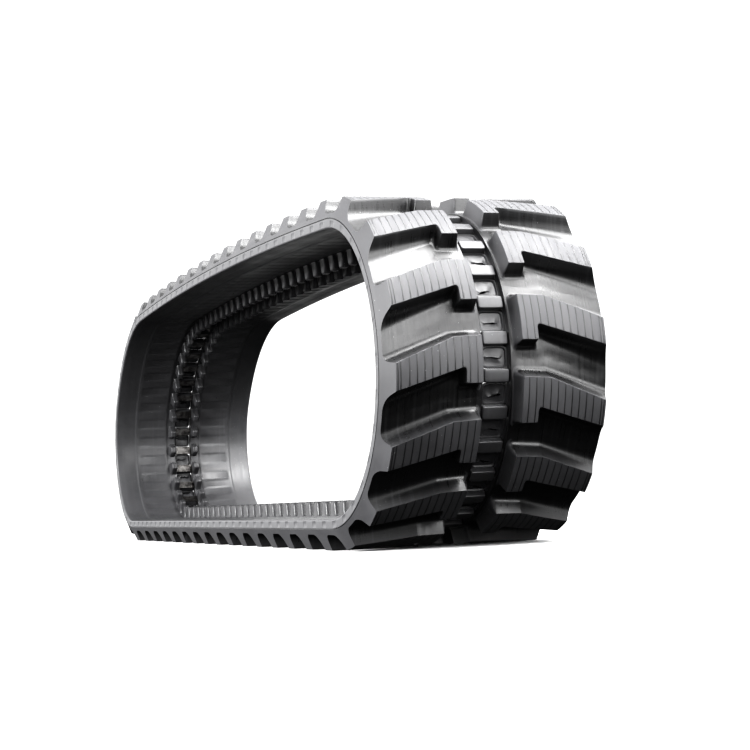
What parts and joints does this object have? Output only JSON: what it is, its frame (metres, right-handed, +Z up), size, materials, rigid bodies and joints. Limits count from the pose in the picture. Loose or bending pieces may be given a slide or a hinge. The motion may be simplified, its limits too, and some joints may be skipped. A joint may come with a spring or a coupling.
{
  "type": "rubber track",
  "caption": "Endless rubber track for a small excavator, a loop with staggered hooked tread lugs, steel cores, paired guide lugs and sprocket windows.",
  "frame": {"origin": "on the ground, under the middle of the loop as it stands", "axes": "+X along the travel direction, towards the rounder front end; +Y across the belt; +Z up"},
  "size_m": [2.1712, 0.35, 0.5767],
  "materials": {
    "tread_rubber": "moulded tread compound, satin black with a dusty grey bloom on the lug tops",
    "carcass_rubber": "smooth moulded black, faint pad marks on the roller path",
    "core_steel": "forged steel, scuffed bright where bare",
    "jacket_rubber": "moulded black over the cores, scuffed at the tips",
    "cord_steel": "brass-coated steel cords, sealed in rubber"
  },
  "bodies": {
    "bottom_run": {"bottom_run_tread": "tread_rubber", "bottom_run_carcass": "carcass_rubber", "bottom_run_cores": "core_steel", "bottom_run_core_jackets": "jacket_rubber", "bottom_run_cord_plies": "cord_steel"},
    "front_1": {"front_1_tread": "tread_rubber", "front_1_carcass": "carcass_rubber", "front_1_cores": "core_steel", "front_1_core_jackets": "jacket_rubber", "front_1_cord_plies": "cord_steel"},
    "front_2": {"front_2_tread": "tread_rubber", "front_2_carcass": "carcass_rubber", "front_2_cores": "core_steel", "front_2_core_jackets": "jacket_rubber", "front_2_cord_plies": "cord_steel"},
    "front_3": {"front_3_tread": "tread_rubber", "front_3_carcass": "carcass_rubber", "front_3_cores": "core_steel", "front_3_core_jackets": "jacket_rubber", "front_3_cord_plies": "cord_steel"},
    "front_4": {"front_4_tread": "tread_rubber", "front_4_carcass": "carcass_rubber", "front_4_cores": "core_steel", "front_4_core_jackets": "jacket_rubber", "front_4_cord_plies": "cord_steel"},
    "top_1": {"top_1_tread": "tread_rubber", "top_1_carcass": "carcass_rubber", "top_1_cores": "core_steel", "top_1_core_jackets": "jacket_rubber", "top_1_cord_plies": "cord_steel"},
    "top_2": {"top_2_tread": "tread_rubber", "top_2_carcass": "carcass_rubber", "top_2_cores": "core_steel", "top_2_core_jackets": "jacket_rubber", "top_2_cord_plies": "cord_steel"},
    "top_3": {"top_3_tread": "tread_rubber", "top_3_carcass": "carcass_rubber", "top_3_cores": "core_steel", "top_3_core_jackets": "jacket_rubber", "top_3_cord_plies": "cord_steel"},
    "rear_4": {"rear_4_tread": "tread_rubber", "rear_4_carcass": "carcass_rubber", "rear_4_cores": "core_steel", "rear_4_core_jackets": "jacket_rubber", "rear_4_cord_plies": "cord_steel"},
    "rear_3": {"rear_3_tread": "tread_rubber", "rear_3_carcass": "carcass_rubber", "rear_3_cores": "core_steel", "rear_3_core_jackets": "jacket_rubber", "rear_3_cord_plies": "cord_steel"},
    "rear_2": {"rear_2_tread": "tread_rubber", "rear_2_carcass": "carcass_rubber", "rear_2_cores": "core_steel", "rear_2_core_jackets": "jacket_rubber", "rear_2_cord_plies": "cord_steel"},
    "rear_1": {"rear_1_tread": "tread_rubber", "rear_1_carcass": "carcass_rubber", "rear_1_cores": "core_steel", "rear_1_core_jackets": "jacket_rubber", "rear_1_cord_plies": "cord_steel"}
  },
  "joints": [
    {"name": "front_1_flex", "type": "hinge", "parent": "bottom_run", "child": "front_1", "pos_m": [0.8114, 0, 0.03422], "axis": [0, 1, 0], "range_deg": [-3, 4], "stiffness_Nm_per_rad": 3000},
    {"name": "front_2_flex", "type": "hinge", "parent": "front_1", "child": "front_2", "pos_m": [0.99433, 0, 0.12599], "axis": [0, 1, 0], "range_deg": [-2.62, 1.97], "stiffness_Nm_per_rad": 3000},
    {"name": "front_3_flex", "type": "hinge", "parent": "front_2", "child": "front_3", "pos_m": [1.04956, 0, 0.27021], "axis": [0, 1, 0], "range_deg": [-2.56, 1.93], "stiffness_Nm_per_rad": 3000},
    {"name": "front_4_flex", "type": "hinge", "parent": "front_3", "child": "front_4", "pos_m": [0.96444, 0, 0.45426], "axis": [0, 1, 0], "range_deg": [-1.17, 0.88], "stiffness_Nm_per_rad": 3000},
    {"name": "top_1_flex", "type": "hinge", "parent": "front_4", "child": "top_1", "pos_m": [0.81881, 0, 0.50619], "axis": [0, 1, 0], "range_deg": [-0.53, 0.69], "stiffness_Nm_per_rad": 600},
    {"name": "top_2_flex", "type": "hinge", "parent": "top_1", "child": "top_2", "pos_m": [0.29454, 0, 0.53347], "axis": [0, 1, 0], "range_deg": [-0.56, 0.73], "stiffness_Nm_per_rad": 600},
    {"name": "rear_1_flex", "type": "hinge", "parent": "bottom_run", "child": "rear_1", "pos_m": [-0.76358, 0, 0.0335], "axis": [0, 1, 0], "range_deg": [-3.5, 2.63], "stiffness_Nm_per_rad": 3000},
    {"name": "rear_2_flex", "type": "hinge", "parent": "rear_1", "child": "rear_2", "pos_m": [-1.00478, 0, 0.10424], "axis": [0, 1, 0], "range_deg": [-2.1, 2.79], "stiffness_Nm_per_rad": 3000},
    {"name": "rear_3_flex", "type": "hinge", "parent": "rear_2", "child": "rear_3", "pos_m": [-1.03515, 0, 0.30192], "axis": [0, 1, 0], "range_deg": [-2.34, 3.11], "stiffness_Nm_per_rad": 3000},
    {"name": "rear_4_flex", "type": "hinge", "parent": "rear_3", "child": "rear_4", "pos_m": [-0.85119, 0, 0.48313], "axis": [0, 1, 0], "range_deg": [-0.142, 0.182], "stiffness_Nm_per_rad": 3000},
    {"name": "top_3_flex", "type": "hinge", "parent": "rear_4", "child": "top_3", "pos_m": [-0.6503, 0, 0.53815], "axis": [0, 1, 0], "range_deg": [-1.07, 0.81], "stiffness_Nm_per_rad": 600}
  ],
  "couplings": [
    {"joint": "front_2_flex", "follows": "front_1_flex", "ratio": -0.64909},
    {"joint": "front_3_flex", "follows": "front_1_flex", "ratio": -0.63524},
    {"joint": "front_4_flex", "follows": "front_1_flex", "ratio": -0.28767},
    {"joint": "top_1_flex", "follows": "front_1_flex", "ratio": 0.16879},
    {"joint": "top_2_flex", "follows": "front_1_flex", "ratio": 0.17847},
    {"joint": "rear_1_flex", "follows": "front_1_flex", "ratio": -0.87075},
    {"joint": "rear_2_flex", "follows": "front_1_flex", "ratio": 0.69176},
    {"joint": "rear_3_flex", "follows": "front_1_flex", "ratio": 0.77208},
    {"joint": "rear_4_flex", "follows": "front_1_flex", "ratio": 0.040616},
    {"joint": "top_3_flex", "follows": "front_1_flex", "ratio": -0.26223}
  ]
}
